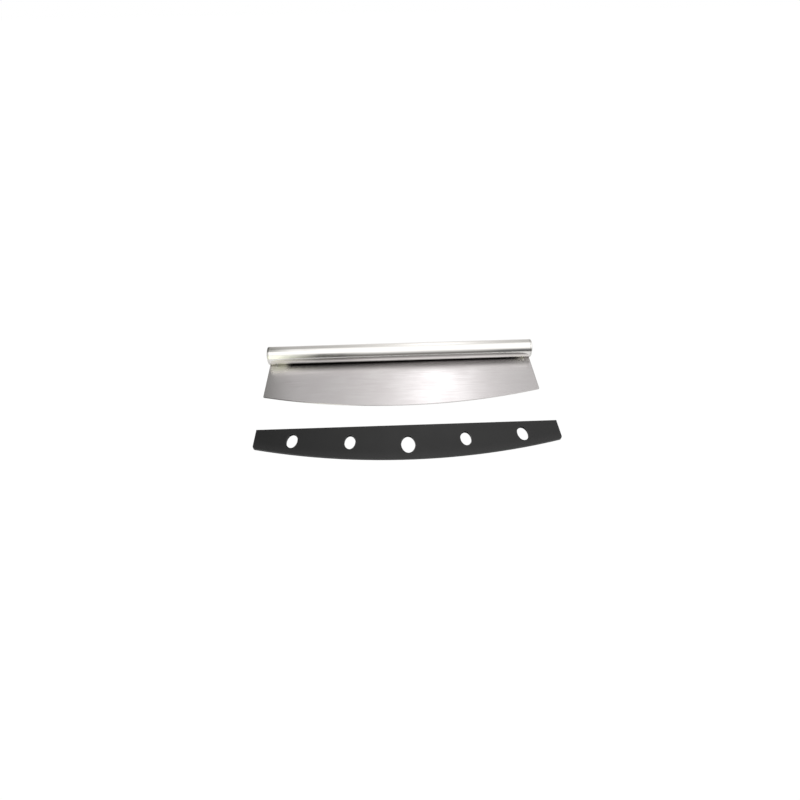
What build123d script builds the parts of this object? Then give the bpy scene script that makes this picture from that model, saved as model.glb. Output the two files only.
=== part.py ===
# Rocking pizza knife with a loose blade cover, in millimetres, +Z up.
# The knife lies on its side: its handle along X, its cutting edge towards -Y.
# The blade is let into the handle low down, so its plane passes under the handle's axis.
# The cover lies off the blade, in front of the edge and in the blade's plane.
# The set rests on the underside of the handle and on the cover's far edge,
# so the blade's plane slopes down a very little towards -Y.
# The origin is the bottom centre of the set's bounding box.
import math
import os

from build123d import *

os.makedirs("parts", exist_ok=True)

# Handle: a round tube closed by two caps
handle_overhang = 1.2       # how far the capped tube passes the blade at each end
tube_diameter = 25.0
tube_wall = 1.5
cap_lip = 2.5
cap_edge_radius = 0.6
cap_spigot_length = 7.0
cap_spigot_wall = 1.6
cap_fit_clearance = 0.05

# Blade: straight spine in the tube's slot, square ends, one curved edge
blade_length = 355.0
blade_thickness = 1.5
blade_reach = 77.6          # from the tube's front to the edge, at mid length
blade_inset = 2.5           # from the tube's underside up to the blade's middle plane
edge_radius = 762.0         # curve of the cutting edge
tip_radius = 1.6
spine_depth = 11.5          # how far the spine passes the tube's front
slot_side_clearance = 0.05
slot_end_clearance = 0.2
bevel_height = 0.6          # width of the ground band along the edge
edge_land = 0.3             # thickness left at the very edge

# Tack welds between tube and blade
weld_radius = 1.3
weld_length = 4.5
weld_inset = 7.2            # from the blade's end to the weld's end

# Cover: a moulding with a slot for the edge
cover_wall = 0.95
cover_side_clearance = 0.1
cover_end_wall = 1.8
cover_end_play = 1.5
cover_rim_wall = 1.5
cover_seat_gap = 0.3
cover_mouth_flare = 0.25    # lead-in on each wall at the slot's mouth
cover_mouth_depth = 0.7
cover_height = 49.1         # at mid length
cover_corner_radius = 4.0
cover_edge_radius = 0.45
cover_gap = 33.3            # from the cutting edge to the cover, at mid length
cover_shift = 4.1           # the cover lies a little off centre, towards +X

# Holes through the cover: four alike, and a larger one in the middle
hole_pitch = 68.0
hole_width = 13.0
hole_height = 21.2
middle_hole_width = 16.5
middle_hole_height = 25.6
middle_hole_drop = 4.25     # the middle hole lies this much nearer the curved rim

overrun = 5.0               # how far cutting tools pass the faces that they cut

# Sizes that follow from these
handle_length = blade_length + 2 * handle_overhang
tube_radius = tube_diameter / 2
bore_radius = tube_radius - tube_wall
tube_length = handle_length - 2 * cap_lip
blade_offset = tube_radius - blade_inset
edge_reach = tube_radius + blade_reach
spine_reach = tube_radius - spine_depth
spine_slot_width = blade_thickness + 2 * slot_side_clearance
spine_slot_length = blade_length + 2 * slot_end_clearance
edge_centre = edge_radius - edge_reach
cover_thickness = blade_thickness + 2 * (cover_side_clearance + cover_wall)
slot_thickness = blade_thickness + 2 * cover_side_clearance
slot_length = blade_length + 2 * cover_end_play
cover_length = slot_length + 2 * cover_end_wall
slot_radius = edge_radius + cover_seat_gap
rim_radius = slot_radius + cover_rim_wall
cover_open_reach = edge_reach + cover_gap
cover_rim_reach = cover_open_reach + cover_height


def rise(radius, half_chord):
    """How far a circle's edge rises from its lowest point at this half chord."""
    return radius - math.sqrt(radius ** 2 - half_chord ** 2)


def curved_panel(length, top_y, bottom_y, radius, middle_x):
    """A face with a straight top, square ends and a bottom curved to this radius."""
    half = length / 2
    end_y = bottom_y + rise(radius, half)
    top_left = (middle_x - half, top_y)
    top_right = (middle_x + half, top_y)
    end_left = (middle_x - half, end_y)
    end_right = (middle_x + half, end_y)
    sides = Polyline(end_left, top_left, top_right, end_right)
    curve = ThreePointArc(end_left, (middle_x, bottom_y), end_right)
    return make_face(Curve() + [sides, curve])


def plate(face, thickness):
    """A face in the blade's plane given its thickness to both sides."""
    return extrude(face, thickness / 2, both=True)


def lower_corners(solid, count=2):
    """The edges through the thickness that lie nearest the curved side."""
    return solid.edges().filter_by(Axis.Z).sort_by(Axis.Y)[:count]


def make_blade():
    outline = curved_panel(blade_length, -spine_reach, -edge_reach, edge_radius, 0)
    body = plate(outline, blade_thickness)
    body = fillet(lower_corners(body), tip_radius)
    half_thickness = blade_thickness / 2
    half_land = edge_land / 2
    slope = (half_thickness - half_land) / bevel_height
    bevel_start = edge_radius - bevel_height
    bevel_end = edge_radius + overrun
    section = Polyline(
        (bevel_start, half_thickness),
        (bevel_end, half_land - slope * overrun),
        (bevel_end, half_thickness + overrun),
        (bevel_start, half_thickness + overrun),
        close=True,
    )
    ring = revolve(Plane.XZ * make_face(section), Axis.Z)
    ring = Pos(0, edge_centre, 0) * ring
    return body - ring - mirror(ring, Plane.XY)


def spine_room(extra_depth):
    """The space round the spine, open towards the cutting edge and deeper below by this much."""
    depth = spine_slot_width + extra_depth
    room = Box(
        spine_slot_length,
        tube_radius + overrun,
        depth,
        align=(Align.CENTER, Align.MAX, Align.MAX),
    )
    return Pos(0, slot_end_clearance - spine_reach, spine_slot_width / 2) * room


def make_tube():
    outer = Cylinder(tube_radius, tube_length)
    tube = outer - Cylinder(bore_radius, tube_length + overrun)
    tube = Pos(0, 0, blade_offset) * Rot(0, 90, 0) * tube
    return tube - spine_room(0)


def make_cap(side):
    """side is -1 for the left end and 1 for the right end."""
    seat = Pos(side * tube_length / 2, 0, blade_offset) * Rot(0, side * 90, 0)
    lip = Cylinder(tube_radius, cap_lip, align=(Align.CENTER, Align.CENTER, Align.MIN))
    lip = seat * fillet(lip.edges().sort_by(Axis.Z)[-1], cap_edge_radius)
    lip -= spine_room(0)
    spigot_radius = bore_radius - cap_fit_clearance
    cup_radius = spigot_radius - cap_spigot_wall
    spigot = Cylinder(spigot_radius, cap_spigot_length, align=(Align.CENTER, Align.CENTER, Align.MAX))
    spigot -= Cylinder(cup_radius, cap_spigot_length, align=(Align.CENTER, Align.CENTER, Align.MAX))
    spigot = seat * spigot - spine_room(tube_wall)
    return lip + spigot


def make_weld_beads(face_side, blade):
    """A bead near each end on one face of the blade; face_side is 1 for +Z and -1 for -Z."""
    bead_x = blade_length / 2 - weld_inset - weld_length / 2
    bead_z = face_side * blade_thickness / 2
    bead_y = -math.sqrt(tube_radius ** 2 - (blade_offset - bead_z) ** 2)
    core_length = weld_length - 2 * weld_radius
    bead = Rot(0, 90, 0) * Cylinder(weld_radius, core_length)
    for end in (-1, 1):
        bead += Pos(end * core_length / 2, 0, 0) * Sphere(weld_radius)
    beads = Pos(-bead_x, bead_y, bead_z) * bead + Pos(bead_x, bead_y, bead_z) * bead
    other_side = Box(blade_length, tube_diameter, tube_diameter)
    other_side = Pos(0, -tube_radius, -face_side * tube_radius) * other_side
    solid_tube = Pos(0, 0, blade_offset) * Rot(0, 90, 0) * Cylinder(tube_radius, tube_length)
    return beads - blade - solid_tube - other_side


def make_mouth():
    """The slot's lead-in: wide at the cover's open side, narrowing to the slot."""
    half_slot = slot_thickness / 2
    half_mouth = half_slot + cover_mouth_flare
    throat_y = -cover_open_reach - cover_mouth_depth
    section = Polyline(
        (throat_y, -half_slot),
        (-cover_open_reach, -half_mouth),
        (-cover_open_reach + overrun, -half_mouth),
        (-cover_open_reach + overrun, half_mouth),
        (-cover_open_reach, half_mouth),
        (throat_y, half_slot),
        close=True,
    )
    mouth = extrude(Plane.YZ * make_face(section), slot_length / 2, both=True)
    return Pos(cover_shift, 0, 0) * mouth


def make_cover():
    shell_face = curved_panel(cover_length, -cover_open_reach, -cover_rim_reach, rim_radius, cover_shift)
    shell = plate(shell_face, cover_thickness)
    shell = fillet(lower_corners(shell), cover_corner_radius)
    half_thickness = cover_thickness / 2
    rim_edges = shell.edges().filter_by_position(Axis.Z, half_thickness, half_thickness)
    rim_edges += shell.edges().filter_by_position(Axis.Z, -half_thickness, -half_thickness)
    shell = fillet(rim_edges, cover_edge_radius)
    slot_bottom = -cover_rim_reach + cover_rim_wall
    slot_face = curved_panel(slot_length, -cover_open_reach + overrun, slot_bottom, slot_radius, cover_shift)
    shell -= plate(slot_face, slot_thickness)
    shell -= make_mouth()
    for index in range(-2, 3):
        offset_x = index * hole_pitch
        local_height = cover_height - rise(rim_radius, offset_x)
        width = hole_width
        height = hole_height
        drop = local_height / 2
        if index == 0:
            width = middle_hole_width
            height = middle_hole_height
            drop += middle_hole_drop
        hole = plate(Ellipse(width / 2, height / 2), cover_thickness + overrun)
        shell -= Pos(cover_shift + offset_x, -cover_open_reach - drop, 0) * hole
    return shell


# How the set lies: the slope that lets the handle and the cover's far edge touch the ground
axis_height = blade_offset + cover_thickness / 2
rim_distance = math.hypot(axis_height, cover_rim_reach)
slope_angle = math.asin(tube_radius / rim_distance) - math.atan(axis_height / cover_rim_reach)
front_y = -cover_rim_reach * math.cos(slope_angle) - cover_thickness / 2 * math.sin(slope_angle)
rear_y = tube_radius - blade_offset * math.sin(slope_angle)
left_x = min(-handle_length / 2, cover_shift - cover_length / 2)
right_x = max(handle_length / 2, cover_shift + cover_length / 2)
ground_x = -(left_x + right_x) / 2
ground_y = -(front_y + rear_y) / 2
ground_z = tube_radius - blade_offset * math.cos(slope_angle)
place = Pos(ground_x, ground_y, ground_z) * Rot(math.degrees(slope_angle), 0, 0)

blade = make_blade()
nodes = {
    "blade": blade,
    "handle_tube": make_tube(),
    "end_cap_left": make_cap(-1),
    "end_cap_right": make_cap(1),
    "weld_beads_front": make_weld_beads(1, blade),
    "weld_beads_rear": make_weld_beads(-1, blade),
    "blade_cover": make_cover(),
}

for name, solid in nodes.items():
    export_step(place * solid, f"parts/{name}.step")
    print(name, "volume", round(solid.volume, 1))

cover_travel = cover_rim_reach - cover_rim_wall - cover_seat_gap - edge_reach
cover_open = place.position
cover_closed = (place * Pos(-cover_shift, cover_travel, 0)).position
print("slope in degrees", round(math.degrees(slope_angle), 4))
print("cover travel", round(math.hypot(cover_travel, cover_shift), 3))
print("cover moves by", cover_closed - cover_open)
print("blade's plane meets the middle at", cover_open)
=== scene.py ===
import math

import bmesh
import bpy
from mathutils import Euler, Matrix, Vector


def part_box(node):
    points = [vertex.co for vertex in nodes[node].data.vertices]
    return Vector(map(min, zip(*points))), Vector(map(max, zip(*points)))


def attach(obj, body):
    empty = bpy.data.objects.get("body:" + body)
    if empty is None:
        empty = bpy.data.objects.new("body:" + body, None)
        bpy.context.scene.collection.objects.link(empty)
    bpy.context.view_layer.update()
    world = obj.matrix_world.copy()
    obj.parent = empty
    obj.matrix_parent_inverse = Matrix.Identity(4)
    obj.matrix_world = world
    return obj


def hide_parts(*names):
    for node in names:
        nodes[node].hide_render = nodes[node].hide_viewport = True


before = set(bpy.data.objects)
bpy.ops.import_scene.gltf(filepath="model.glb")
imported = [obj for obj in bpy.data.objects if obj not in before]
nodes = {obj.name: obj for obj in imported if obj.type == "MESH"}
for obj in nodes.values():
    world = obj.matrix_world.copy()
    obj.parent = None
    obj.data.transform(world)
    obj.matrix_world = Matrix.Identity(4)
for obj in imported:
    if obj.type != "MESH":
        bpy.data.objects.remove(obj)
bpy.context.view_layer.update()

mm = 0.001
fullTurn = 2 * math.pi
print("frame loaded:", ", ".join(sorted(nodes)))


def linear(hexColour):
    # sRGB hex to the linear colour that shaders take
    parts = [int(hexColour[i:i + 2], 16) / 255 for i in (1, 3, 5)]
    return tuple(p / 12.92 if p <= 0.04045 else ((p + 0.055) / 1.055) ** 2.4 for p in parts) + (1.0,)


def addNode(tree, kind, settings=None, inputs=None, links=None):
    # settings go on the node, inputs on its sockets, links join another node's output to a socket
    node = tree.nodes.new(kind)
    for name, value in (settings or {}).items():
        setattr(node, name, value)
    for name, value in (inputs or {}).items():
        node.inputs[name].default_value = value
    for name, (source, output) in (links or {}).items():
        tree.links.new(source.outputs[output], node.inputs[name])
    return node


def newMaterial(name):
    material = bpy.data.materials.new(name)
    material.use_nodes = True
    material.node_tree.nodes.clear()
    return material, material.node_tree


def finishMaterial(tree, shader):
    addNode(tree, "ShaderNodeOutputMaterial", links={"Surface": (shader, 0)})


def softBump(tree, value, centre, half, soft):
    # 1 within half of the centre, easing to 0 over the soft width
    offset = addNode(tree, "ShaderNodeMath", {"operation": "SUBTRACT"}, {1: centre}, {0: value})
    distance = addNode(tree, "ShaderNodeMath", {"operation": "ABSOLUTE"}, links={0: (offset, 0)})
    return addNode(tree, "ShaderNodeMapRange", {"interpolation_type": "SMOOTHSTEP"},
                   {"From Min": half + soft / 2, "From Max": half - soft / 2}, {"Value": (distance, 0)})


def curveReach(tree, place, middle, front, radius):
    # Distance from the centre of a long curve that bulges to the front, seen from above
    fromCentre = addNode(tree, "ShaderNodeMapping", None,
                         {"Location": (-middle, -front - radius, 0.0), "Scale": (1.0, 1.0, 0.0)},
                         {"Vector": (place, "Object")})
    return addNode(tree, "ShaderNodeVectorMath", {"operation": "LENGTH"}, links={0: (fromCentre, 0)})


def polishedStainless():
    # Stainless tube, buffed: mirror-like, softened by very fine lines round it and by a few rubbed patches
    look = {
        "colour": "#dcdad7",
        "roughness": (0.11, 0.17),
        "patchSize": 24 * mm,
        "patchContrast": (0.35, 0.65),
        "lineSpacing": 0.35 * mm,
        "lineStretch": 0.02,  # the smaller, the further a line runs round
        "lineStrength": 0.05,
        "lineDepth": 0.03 * mm,
    }
    material, tree = newMaterial("polishedStainlessTube")
    place = addNode(tree, "ShaderNodeTexCoord")
    stretch = addNode(tree, "ShaderNodeMapping", None,
                      {"Scale": (1.0, look["lineStretch"], look["lineStretch"])},
                      {"Vector": (place, "Object")})
    lines = addNode(tree, "ShaderNodeTexNoise", None, {"Scale": 1 / look["lineSpacing"], "Detail": 3.0},
                    {"Vector": (stretch, 0)})
    bump = addNode(tree, "ShaderNodeBump", None,
                   {"Strength": look["lineStrength"], "Distance": look["lineDepth"]}, {"Height": (lines, 0)})
    patches = addNode(tree, "ShaderNodeTexNoise", None, {"Scale": 1 / look["patchSize"], "Detail": 4.0},
                      {"Vector": (place, "Object")})
    rubbedAndSheen = addNode(tree, "ShaderNodeMapRange", None,
                     {"From Min": look["patchContrast"][0], "From Max": look["patchContrast"][1],
                      "To Min": look["roughness"][0], "To Max": look["roughness"][1]},
                     {"Value": (patches, 0)})
    shader = addNode(tree, "ShaderNodeBsdfPrincipled", None,
                     {"Base Color": linear(look["colour"]), "Metallic": 1.0},
                     {"Roughness": (rubbedAndSheen, 0), "Normal": (bump, 0)})
    finishMaterial(tree, shader)
    return material


def turnedStainless():
    # Stainless end caps, faced on a lathe: rings round the middle of the face.
    # A hairline shows where cap meets tube; it is drawn a little wider than a real seam.
    look = {
        "colour": "#d6d4d1",
        "seamColour": "#4a4845",
        "seamWidth": 0.22 * mm,
        "roughness": 0.18,
        "ringSpacing": 0.45 * mm,
        "ringStrength": 0.12,
        "ringDepth": 0.02 * mm,
    }
    material, tree = newMaterial("turnedStainlessCap")
    place = addNode(tree, "ShaderNodeTexCoord")
    centred = addNode(tree, "ShaderNodeMapping", None, {"Location": [-m for m in tubeMiddle]},
                      {"Vector": (place, "Object")})
    flat = addNode(tree, "ShaderNodeMapping", None, {"Scale": (0.0, 1.0, 1.0)}, {"Vector": (centred, 0)})
    radius = addNode(tree, "ShaderNodeVectorMath", {"operation": "LENGTH"}, links={0: (flat, 0)})
    rings = addNode(tree, "ShaderNodeTexNoise", {"noise_dimensions": "1D"},
                    {"Scale": 1 / look["ringSpacing"], "Detail": 2.0}, {"W": (radius, "Value")})
    bump = addNode(tree, "ShaderNodeBump", None,
                   {"Strength": look["ringStrength"], "Distance": look["ringDepth"]}, {"Height": (rings, 0)})
    parts = addNode(tree, "ShaderNodeSeparateXYZ", links={"Vector": (centred, 0)})
    outward = addNode(tree, "ShaderNodeMath", {"operation": "ABSOLUTE"}, links={0: (parts, "X")})
    seam = addNode(tree, "ShaderNodeMath", {"operation": "LESS_THAN"},
                   {1: tubeHalfLength + look["seamWidth"]}, {0: (outward, 0)})
    colour = addNode(tree, "ShaderNodeMix", {"data_type": "RGBA"},
                     {6: linear(look["colour"]), 7: linear(look["seamColour"])}, {0: (seam, 0)})
    shader = addNode(tree, "ShaderNodeBsdfPrincipled", None,
                     {"Metallic": 1.0, "Roughness": look["roughness"]},
                     {"Base Color": (colour, 2), "Normal": (bump, 0)})
    finishMaterial(tree, shader)
    return material


def brushedStainless():
    # Stainless plate, brushed along its length: highlights spread across the brushing, streaks run with it.
    # Hard against the handle a strip is painted dark, wider on the left: painted shade cast by the handle.
    # The welds near both ends were wire-brushed, so the painted shade stops short of them and the plate is
    # satin there, with a straw heat tint lightened by a painted cream reflection, stronger on the left.
    # The cutting edge and the ends are painted a shade darker than the face, as painted shade.
    look = {
        "colour": "#d5d2d3",
        "streakColour": "#cecacb",
        "shadeColour": "#22211f",
        "tintAndReflectionColour": "#dcdcc6",
        "edgeShadeColour": "#c0bdbc",
        "roughness": (0.2, 0.24),
        "anisotropy": 0.75,
        "grainSpacing": 0.5 * mm,
        "grainStretch": 0.02,  # the smaller, the longer the grain
        "grainStrength": 0.15,
        "grainDepth": 0.03 * mm,
        "streakSpacing": 1.8 * mm,
        "streakStretch": 0.06,
        "streakContrast": (0.8, 1.2),  # of streaks and clouds added up
        "cloudSize": 34 * mm,
        "shadeWidth": (12.5 * mm, 7 * mm),  # far left, and from a little right of the middle on
        "shadeTaper": (-130 * mm, 45 * mm),  # where it narrows, from the blade's middle
        "shadeEnds": 26 * mm,  # from the blade's ends
        "shadeEndFade": 12 * mm,
        "shadeShift": 4 * mm,  # to the right of the blade's middle
        "weldFromEnd": 14 * mm,
        "weldReach": 20 * mm,
        "tintAndReflectionShares": (0.6, 0.2),  # left weld, right weld
        "satin": 0.4,  # roughness that the wire brush adds
        "edgeWidth": 0.7 * mm,
        "edgeRadius": 762 * mm,  # curve of the cutting edge
    }
    material, tree = newMaterial("brushedStainlessBlade")
    place = addNode(tree, "ShaderNodeTexCoord")
    stretch = addNode(tree, "ShaderNodeMapping", None, {"Scale": (look["grainStretch"], 1.0, 1.0)},
                      {"Vector": (place, "Object")})
    grain = addNode(tree, "ShaderNodeTexNoise", None, {"Scale": 1 / look["grainSpacing"], "Detail": 4.0},
                    {"Vector": (stretch, 0)})
    bump = addNode(tree, "ShaderNodeBump", None,
                   {"Strength": look["grainStrength"], "Distance": look["grainDepth"]},
                   {"Height": (grain, 0)})
    across = addNode(tree, "ShaderNodeCombineXYZ", inputs={"Y": 1.0})

    # streaks along the brushing, stronger in some clouds than in others
    long = addNode(tree, "ShaderNodeMapping", None, {"Scale": (look["streakStretch"], 1.0, 1.0)},
                   {"Vector": (place, "Object")})
    streaks = addNode(tree, "ShaderNodeTexNoise", None, {"Scale": 1 / look["streakSpacing"], "Detail": 5.0},
                      {"Vector": (long, 0)})
    clouds = addNode(tree, "ShaderNodeTexNoise", None, {"Scale": 1 / look["cloudSize"], "Detail": 3.0},
                     {"Vector": (place, "Object")})
    both = addNode(tree, "ShaderNodeMath", {"operation": "ADD"}, links={0: (streaks, 0), 1: (clouds, 0)})
    worn = addNode(tree, "ShaderNodeMapRange", None,
                   {"From Min": look["streakContrast"][0], "From Max": look["streakContrast"][1]},
                   {"Value": (both, 0)})
    rough = addNode(tree, "ShaderNodeMapRange", None,
                    {"To Min": look["roughness"][0], "To Max": look["roughness"][1]}, {"Value": (worn, 0)})
    steel = addNode(tree, "ShaderNodeMix", {"data_type": "RGBA"},
                    {6: linear(look["colour"]), 7: linear(look["streakColour"])}, {0: (worn, 0)})

    # straw heat tint lightened by a painted cream reflection, and satin brushing, round the welds
    parts = addNode(tree, "ShaderNodeSeparateXYZ", links={"Vector": (place, "Object")})
    fromMiddle = addNode(tree, "ShaderNodeMath", {"operation": "SUBTRACT"}, {1: bladeMiddle},
                         {0: (parts, "X")})
    sideways = addNode(tree, "ShaderNodeMath", {"operation": "ABSOLUTE"}, links={0: (fromMiddle, 0)})
    fromWeld = addNode(tree, "ShaderNodeMath", {"operation": "SUBTRACT"},
                       {1: bladeHalf - look["weldFromEnd"]}, {0: (sideways, 0)})
    fromJoint = addNode(tree, "ShaderNodeMath", {"operation": "SUBTRACT"}, {1: bladeTop}, {0: (parts, "Y")})
    flat = addNode(tree, "ShaderNodeCombineXYZ", links={"X": (fromWeld, 0), "Y": (fromJoint, 0)})
    distance = addNode(tree, "ShaderNodeVectorMath", {"operation": "LENGTH"}, links={0: (flat, 0)})
    weldStrength = addNode(tree, "ShaderNodeMapRange", None,
                        {"From Min": -look["weldReach"], "From Max": look["weldReach"],
                         "To Min": look["tintAndReflectionShares"][0], "To Max": look["tintAndReflectionShares"][1]},
                        {"Value": (fromMiddle, 0)})
    weldMask = addNode(tree, "ShaderNodeMapRange", {"interpolation_type": "SMOOTHSTEP"},
                   {"From Min": look["weldReach"], "From Max": 0.0},
                   {"Value": (distance, "Value"), "To Max": (weldStrength, 0)})
    tintedAndReflected = addNode(tree, "ShaderNodeMix", {"data_type": "RGBA"}, {7: linear(look["tintAndReflectionColour"])},
                     {0: (weldMask, 0), 6: (steel, 2)})
    satin = addNode(tree, "ShaderNodeMath", {"operation": "MULTIPLY_ADD"}, {1: look["satin"]},
                    {0: (weldMask, 0), 2: (rough, 0)})

    # painted shade beside the handle, cast by it
    width = addNode(tree, "ShaderNodeMapRange", None,
                    {"From Min": look["shadeTaper"][0], "From Max": look["shadeTaper"][1],
                     "To Min": -look["shadeWidth"][0], "To Max": -look["shadeWidth"][1]},
                    {"Value": (fromMiddle, 0)})
    fromHandle = addNode(tree, "ShaderNodeMapRange", {"interpolation_type": "SMOOTHSTEP"}, {"From Max": 0.0},
                         {"Value": (fromJoint, 0), "From Min": (width, 0)})
    shadeMiddle = bladeMiddle + look["shadeShift"]
    shadeHalf = bladeHalf - look["shadeEnds"] + look["shadeEndFade"] / 2
    inside = softBump(tree, (parts, "X"), shadeMiddle, shadeHalf, look["shadeEndFade"])
    share = addNode(tree, "ShaderNodeMath", {"operation": "MULTIPLY"},
                    links={0: (fromHandle, 0), 1: (inside, 0)})
    shaded = addNode(tree, "ShaderNodeMix", {"data_type": "RGBA"}, {7: linear(look["shadeColour"])},
                     {0: (share, 0), 6: (tintedAndReflected, 2)})

    # painted shade along the cutting edge's curve and at the ends
    reach = curveReach(tree, place, bladeMiddle, bladeLow[1], look["edgeRadius"])
    edgeShade = addNode(tree, "ShaderNodeMath", {"operation": "GREATER_THAN"},
                     {1: look["edgeRadius"] - look["edgeWidth"]}, {0: (reach, "Value")})
    endShade = addNode(tree, "ShaderNodeMath", {"operation": "GREATER_THAN"},
                      {1: bladeHalf - look["edgeWidth"]}, {0: (sideways, 0)})
    rim = addNode(tree, "ShaderNodeMath", {"operation": "MAXIMUM"}, links={0: (edgeShade, 0), 1: (endShade, 0)})
    colour = addNode(tree, "ShaderNodeMix", {"data_type": "RGBA"}, {7: linear(look["edgeShadeColour"])},
                     {0: (rim, 0), 6: (shaded, 2)})
    shader = addNode(tree, "ShaderNodeBsdfPrincipled", None,
                     {"Metallic": 1.0, "Anisotropic": look["anisotropy"]},
                     {"Base Color": (colour, 2), "Roughness": (satin, 0), "Normal": (bump, 0),
                      "Tangent": (across, 0)})
    finishMaterial(tree, shader)
    return material


def weldMetal():
    # Stainless weld, wire-brushed after cooling: bright and satin, with a trace of straw heat tint
    look = {
        "colour": "#dad9d2",
        "roughness": 0.42,
        "pitSpacing": 0.5 * mm,
        "pitStrength": 0.3,
        "pitDepth": 0.03 * mm,
    }
    material, tree = newMaterial("brushedStainlessWeld")
    place = addNode(tree, "ShaderNodeTexCoord")
    pits = addNode(tree, "ShaderNodeTexNoise", None, {"Scale": 1 / look["pitSpacing"], "Detail": 3.0},
                   {"Vector": (place, "Object")})
    bump = addNode(tree, "ShaderNodeBump", None,
                   {"Strength": look["pitStrength"], "Distance": look["pitDepth"]}, {"Height": (pits, 0)})
    shader = addNode(tree, "ShaderNodeBsdfPrincipled", None,
                     {"Base Color": linear(look["colour"]), "Metallic": 1.0, "Roughness": look["roughness"]},
                     {"Normal": (bump, 0)})
    finishMaterial(tree, shader)
    return material


def mattePlastic():
    # Black polypropylene, moulded with a fine spark texture: soft dull sheen, clouded a little by the flow.
    # Towards the curved rim it is painted a shade paler, as a painted sheen.
    look = {
        "colour": "#0a0a0b",
        "rimSheenColour": "#1b1b1c",
        "rimSheenWidth": 11 * mm,
        "rimRadius": 763.8 * mm,  # curve of the cover's rim
        "ior": 1.47,
        "roughness": (0.38, 0.44),
        "grainSpacing": 0.6 * mm,
        "grainStrength": 0.2,
        "grainDepth": 0.02 * mm,
        "cloudSize": 28 * mm,
        "cloudContrast": (0.35, 0.65),
    }
    material, tree = newMaterial("blackMouldedPolypropylene")
    place = addNode(tree, "ShaderNodeTexCoord")
    grain = addNode(tree, "ShaderNodeTexNoise", None, {"Scale": 1 / look["grainSpacing"], "Detail": 2.0},
                    {"Vector": (place, "Object")})
    bump = addNode(tree, "ShaderNodeBump", None,
                   {"Strength": look["grainStrength"], "Distance": look["grainDepth"]},
                   {"Height": (grain, 0)})
    clouds = addNode(tree, "ShaderNodeTexNoise", None, {"Scale": 1 / look["cloudSize"], "Detail": 3.0},
                     {"Vector": (place, "Object")})
    rough = addNode(tree, "ShaderNodeMapRange", None,
                    {"From Min": look["cloudContrast"][0], "From Max": look["cloudContrast"][1],
                     "To Min": look["roughness"][0], "To Max": look["roughness"][1]},
                    {"Value": (clouds, 0)})
    # painted sheen: the cover is painted a shade paler towards its curved rim
    reach = curveReach(tree, place, coverMiddle, coverLow[1], look["rimRadius"])
    rubbedAndSheen = addNode(tree, "ShaderNodeMapRange", {"interpolation_type": "SMOOTHSTEP"},
                     {"From Min": look["rimRadius"] - look["rimSheenWidth"], "From Max": look["rimRadius"]},
                     {"Value": (reach, "Value")})
    colour = addNode(tree, "ShaderNodeMix", {"data_type": "RGBA"},
                     {6: linear(look["colour"]), 7: linear(look["rimSheenColour"])}, {0: (rubbedAndSheen, 0)})
    shader = addNode(tree, "ShaderNodeBsdfPrincipled", None, {"IOR": look["ior"]},
                     {"Base Color": (colour, 2), "Roughness": (rough, 0), "Normal": (bump, 0)})
    finishMaterial(tree, shader)
    return material


# Places and sizes that come with the frame
bladeLow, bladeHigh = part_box("blade")
bladeMiddle = (bladeLow[0] + bladeHigh[0]) / 2
bladeHalf = (bladeHigh[0] - bladeLow[0]) / 2
tubeLow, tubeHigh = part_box("handle_tube")
tubeMiddle = [(low + high) / 2 for low, high in zip(tubeLow, tubeHigh)]
tubeHalfLength = (tubeHigh[0] - tubeLow[0]) / 2
tubeRadius = (tubeHigh[2] - tubeLow[2]) / 2
axisAboveBlade = tubeMiddle[2] - bladeHigh[2]
bladeTop = tubeMiddle[1] - math.sqrt(tubeRadius ** 2 - axisAboveBlade ** 2)  # where blade and handle meet
coverLow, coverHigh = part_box("blade_cover")
coverMiddle = (coverLow[0] + coverHigh[0]) / 2

# The nodes that show as they come; the other four are modelled again below
tubeFinish = polishedStainless()
capFinish = turnedStainless()
weldFinish = weldMetal()
finishes = {
    "blade": brushedStainless(),
    "weld_beads_rear": weldFinish,
    "blade_cover": mattePlastic(),
}
for nodeName, finish in finishes.items():
    slots = nodes[nodeName].data.materials
    slots.clear()
    slots.append(finish)
print("materials set")

roundness = {
    "steps": 180,
    "sharpAngle": math.radians(35),
    "mergeWithin": 0.001 * mm,
}


def finishPiece(name, shape, finish):
    # A mesh object at the origin, smooth but for its sharp edges
    bmesh.ops.recalc_face_normals(shape, faces=shape.faces)
    for face in shape.faces:
        face.smooth = True
    mesh = bpy.data.meshes.new(name)
    shape.to_mesh(mesh)
    shape.free()
    mesh.set_sharp_from_angle(angle=roundness["sharpAngle"])
    mesh.materials.append(finish)
    piece = bpy.data.objects.new(name, mesh)
    bpy.context.scene.collection.objects.link(piece)
    return piece


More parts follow.
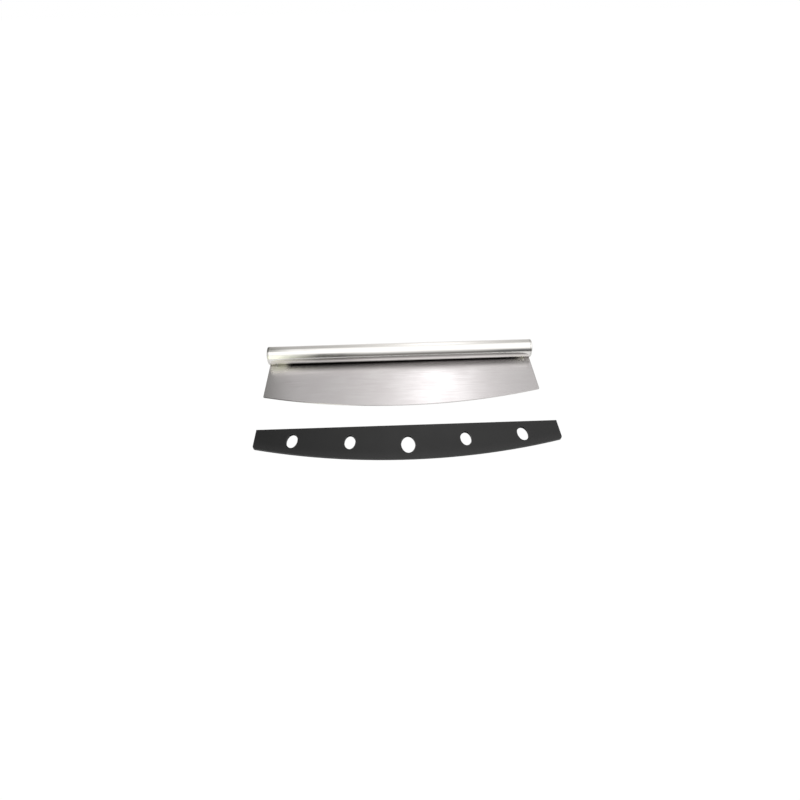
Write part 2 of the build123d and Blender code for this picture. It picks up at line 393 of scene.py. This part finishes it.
def makeTube():
    # The tube's section is a ring left open at the blade's slot, spun from the slot's upper lip to its lower
    # one. Angles run from straight down, by the front, to the top.
    tube = {"wall": 1.5 * mm, "bladeBelowAxis": 10.0 * mm, "slotHalf": 0.8 * mm}
    upperLip = tube["bladeBelowAxis"] - tube["slotHalf"]
    lowerLip = tube["bladeBelowAxis"] + tube["slotHalf"]
    bore = tubeRadius - tube["wall"]
    start = math.acos(upperLip / tubeRadius)
    end = math.acos(lowerLip / tubeRadius) + fullTurn
    boreStart = math.acos(upperLip / bore)
    boreEnd = math.acos(lowerLip / bore) + fullTurn
    slotMiddle = (start + end - fullTurn) / 2
    leftEnd = tubeMiddle[0] - tubeHalfLength

    shape = bmesh.new()
    lip = [shape.verts.new((leftEnd, -r * math.sin(start), -r * math.cos(start))) for r in (tubeRadius, bore)]
    edge = shape.edges.new(lip)
    bmesh.ops.spin(shape, geom=lip + [edge], cent=(leftEnd, 0, 0), axis=(1, 0, 0), angle=start - end,
                   steps=roundness["steps"])

    # the slot's sides are parallel, so the bore starts and ends at other angles than the outside
    for vert in shape.verts:
        if math.hypot(vert.co.y, vert.co.z) > tubeRadius - tube["wall"] / 2:
            continue
        angle = math.atan2(-vert.co.y, -vert.co.z)
        if angle < slotMiddle:
            angle += fullTurn
        share = (angle - start) / (end - start)
        angle = boreStart + share * (boreEnd - boreStart)
        vert.co.y = -bore * math.sin(angle)
        vert.co.z = -bore * math.cos(angle)
    made = bmesh.ops.extrude_face_region(shape, geom=shape.faces[:])["geom"]
    farEnd = [part for part in made if isinstance(part, bmesh.types.BMVert)]
    bmesh.ops.translate(shape, vec=(2 * tubeHalfLength, 0, 0), verts=farEnd)
    bmesh.ops.translate(shape, vec=(0, tubeMiddle[1], tubeMiddle[2]), verts=shape.verts)
    piece = finishPiece("polished_tube", shape, tubeFinish)
    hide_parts("handle_tube")
    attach(piece, "knife")


def makeCap(nodeName, pieceName, side):
    # A turned plug: face, rounded rim and lip outside, and a hollow spigot inside the tube
    cap = {"edgeRadius": 0.6 * mm, "edgeSegments": 4, "spigotRadius": 10.95 * mm, "spigotWall": 1.6 * mm}
    low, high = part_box(nodeName)
    outer = (high if side > 0 else low)[0]
    inner = (low if side > 0 else high)[0]
    joint = tubeMiddle[0] + side * tubeHalfLength
    spigot = cap["spigotRadius"]
    cup = spigot - cap["spigotWall"]
    outline = [(outer, 0), (outer, tubeRadius), (joint, tubeRadius), (joint, spigot),
               (inner, spigot), (inner, cup), (joint, cup), (joint, 0)]
    shape = bmesh.new()
    verts = [shape.verts.new((x, 0, -r)) for x, r in outline]
    edges = [shape.edges.new(pair) for pair in zip(verts, verts[1:])]
    bmesh.ops.spin(shape, geom=verts + edges, cent=(0, 0, 0), axis=(1, 0, 0), angle=fullTurn,
                   steps=roundness["steps"], use_merge=True)
    bmesh.ops.remove_doubles(shape, verts=shape.verts, dist=roundness["mergeWithin"])

    def onRim(vert):
        return abs(vert.co.x - outer) < cap["edgeRadius"] / 2 and math.hypot(vert.co.y, vert.co.z) > cup

    rim = [edge for edge in shape.edges if all(onRim(vert) for vert in edge.verts)]
    bmesh.ops.bevel(shape, geom=rim, affect="EDGES", offset=cap["edgeRadius"], segments=cap["edgeSegments"],
                    profile=0.5, material=-1)
    bmesh.ops.translate(shape, vec=(0, tubeMiddle[1], tubeMiddle[2]), verts=shape.verts)
    piece = finishPiece(pieceName, shape, capFinish)
    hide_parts(nodeName)
    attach(piece, "knife")


def makeWeldDabs():
    # Tack welds, one near each end: a short dab drawn from tube down onto plate, with ripples across it
    dab = {
        "fromEnd": 9.2 * mm,
        "belowJoint": 2.38 * mm,
        "halfWidth": 1.9 * mm,
        "halfLength": 3.4 * mm,
        "height": 0.6 * mm,
        "rippleSpacing": 1.1 * mm,
        "rippleDepth": 0.03 * mm,
        "segments": 28,
    }
    stretch = (dab["halfWidth"], dab["halfLength"], dab["height"])
    shape = bmesh.new()
    for side in (-1, 1):
        verts = bmesh.ops.create_uvsphere(shape, u_segments=dab["segments"], v_segments=dab["segments"],
                                          radius=1.0)["verts"]
        bmesh.ops.scale(shape, vec=stretch, verts=verts)
        for vert in verts:
            ripple = math.sin(fullTurn * vert.co.y / dab["rippleSpacing"]) * dab["rippleDepth"]
            vert.co.z += ripple * vert.co.z / dab["height"]
        sideways = bladeMiddle + side * (bladeHalf - dab["fromEnd"])
        place = (sideways, bladeTop - dab["belowJoint"], bladeHigh[2])
        bmesh.ops.translate(shape, vec=place, verts=verts)
    piece = finishPiece("weld_dabs_front", shape, weldFinish)
    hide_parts("weld_beads_front")
    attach(piece, "knife")


makeTube()
makeCap("end_cap_left", "turned_cap_left", -1)
makeCap("end_cap_right", "turned_cap_right", 1)
print("handle made")
makeWeldDabs()
print("welds made")


def placeCamera():
    # It stands close and looks down at the knife; the lens follows from the photograph's perspective
    facts = {
        "place": (-16.508 * mm, -408.17 * mm, 435.849 * mm),
        "turn": (43.2296, 0.5306, -2.0313),  # degrees
        "lens": 21.1186,
        "sensor": 36.0,
        "clipStart": 10 * mm,
    }
    data = bpy.data.cameras.new("camera")
    data.lens = facts["lens"]
    data.sensor_width = facts["sensor"]
    data.clip_start = facts["clipStart"]
    camera = bpy.data.objects.new("camera", data)
    camera.location = Vector(facts["place"])
    camera.rotation_euler = Euler([math.radians(a) for a in facts["turn"]])
    bpy.context.scene.collection.objects.link(camera)
    bpy.context.scene.camera = camera


def lightColour(light):
    return tuple(c * light["power"] for c in linear(light["colour"])[:3]) + (1.0,)


def buildStudio():
    # The light panels round the knife. Each one covers the ones before it.
    # "side" is the sideways share of a direction, + to the right; "turn" is degrees from overhead, + towards
    # the camera. Both give centre, half width and soft edge.
    room = {"colour": "#fdfaf6", "power": 0.27}
    panels = {
        "back wall": {
            "side": (0, 2, 0.1), "turn": (-74, 44, 30), "colour": "#fbfaf8", "power": 0.67},
        "back wide glow": {
            "side": (0.08, 0.13, 0.24), "turn": (-62, 32, 16), "colour": "#fffdfb", "power": 1.18},
        "back glow": {
            "side": (0.1, 0.035, 0.15), "turn": (-48, 18, 24), "colour": "#ffffff", "power": 2.35},
        "dark back left": {
            "side": (-0.3, 0.055, 0.05), "turn": (-68, 46, 16), "colour": "#f4f8ec", "power": 0.16},
        "overhead": {
            "side": (0.1, 0.55, 0.2), "turn": (-2, 28, 20), "colour": "#ffffff", "power": 1.42},
        "overhead front": {
            "side": (0.1, 0.55, 0.2), "turn": (25, 28, 50), "colour": "#ffffff", "power": 1.6},
        "dim left back": {
            "side": (-0.3, 0.07, 0.04), "turn": (-18, 20, 14), "colour": "#f4f8ec", "power": 0.2},
        "dark front": {
            "side": (-0.13, 0.045, 0.07), "turn": (75, 33, 30), "colour": "#f6f6f4", "power": 0.14},
        "dark front right": {
            "side": (0.28, 0.06, 0.07), "turn": (82, 26, 24), "colour": "#f4f6fa", "power": 0.14},
        "dim left": {
            "side": (-0.48, 0.12, 0.1), "turn": (0, 180, 1), "colour": "#ffffff", "power": 0.12},
        "left wall": {
            "side": (-0.85, 0.22, 0.15), "turn": (0, 180, 1), "colour": "#fbfaf8", "power": 0.62},
        "right wall": {
            "side": (0.85, 0.22, 0.25), "turn": (0, 180, 1), "colour": "#fbfaf8", "power": 0.62},
        "front left": {
            "side": (-0.3, 0.08, 0.07), "turn": (80, 32, 30), "colour": "#f6f9e8", "power": 2.2},
    }
    world = bpy.data.worlds.new("studio")
    world.use_nodes = True
    tree = world.node_tree
    tree.nodes.clear()
    facing = addNode(tree, "ShaderNodeTexCoord")
    parts = addNode(tree, "ShaderNodeSeparateXYZ", links={"Vector": (facing, "Generated")})
    forward = addNode(tree, "ShaderNodeMath", {"operation": "MULTIPLY"}, {1: -1.0}, {0: (parts, "Y")})
    slant = addNode(tree, "ShaderNodeMath", {"operation": "ARCTAN2"},
                    links={0: (forward, 0), 1: (parts, "Z")})
    turn = addNode(tree, "ShaderNodeMath", {"operation": "DEGREES"}, links={0: (slant, 0)})

    glow = addNode(tree, "ShaderNodeMix", {"data_type": "RGBA"}, {0: 0.0, 6: lightColour(room)})
    for name, panel in panels.items():
        across = softBump(tree, (parts, "X"), *panel["side"])
        along = softBump(tree, (turn, 0), *panel["turn"])
        mask = addNode(tree, "ShaderNodeMath", {"operation": "MULTIPLY"},
                       links={0: (across, 0), 1: (along, 0)})
        glow = addNode(tree, "ShaderNodeMix", {"data_type": "RGBA", "label": name}, {7: lightColour(panel)},
                       {0: (mask, 0), 6: (glow, 2)})

    # the camera sees white; metal mirrors the panels
    ray = addNode(tree, "ShaderNodeLightPath")
    shown = addNode(tree, "ShaderNodeMix", {"data_type": "RGBA"}, {7: linear("#ffffff")},
                    {0: (ray, "Is Camera Ray"), 6: (glow, 2)})
    background = addNode(tree, "ShaderNodeBackground", None, {"Strength": 1.0}, {"Color": (shown, 2)})
    addNode(tree, "ShaderNodeOutputWorld", links={"Surface": (background, 0)})
    bpy.context.scene.world = world


def buildFloor():
    # White paper that mostly glows, to the camera and in metal, so the shadow on it stays faint
    paper = {
        "size": 6.0,  # metres
        "colour": "#cdcdcb",
        "glowColour": "#ffffff",
        "glowShare": 0.9,
        "glowPower": 1.08,
    }
    mesh = bpy.data.meshes.new("floor")
    sheet = bmesh.new()
    bmesh.ops.create_grid(sheet, x_segments=1, y_segments=1, size=paper["size"] / 2)
    sheet.to_mesh(mesh)
    sheet.free()
    floor = bpy.data.objects.new("floor", mesh)
    bpy.context.scene.collection.objects.link(floor)
    material, tree = newMaterial("whitePaper")
    ray = addNode(tree, "ShaderNodeLightPath")
    matte = addNode(tree, "ShaderNodeBsdfDiffuse", inputs={"Color": linear(paper["colour"])})
    glow = addNode(tree, "ShaderNodeEmission", None,
                   {"Color": linear(paper["glowColour"]), "Strength": paper["glowPower"]})
    mirrored = addNode(tree, "ShaderNodeMath", {"operation": "MAXIMUM"},
                       links={0: (ray, "Is Glossy Ray"), 1: (ray, "Is Transmission Ray")})
    seen = addNode(tree, "ShaderNodeMath", {"operation": "MAXIMUM"},
                   links={0: (ray, "Is Camera Ray"), 1: (mirrored, 0)})
    share = addNode(tree, "ShaderNodeMath", {"operation": "MULTIPLY"}, {1: paper["glowShare"]},
                    {0: (seen, 0)})
    shader = addNode(tree, "ShaderNodeMixShader", links={0: (share, 0), 1: (matte, 0), 2: (glow, 0)})
    finishMaterial(tree, shader)
    mesh.materials.append(material)


placeCamera()
buildStudio()
buildFloor()
print("camera and studio set")

bpy.context.scene.view_settings.view_transform = "Standard"
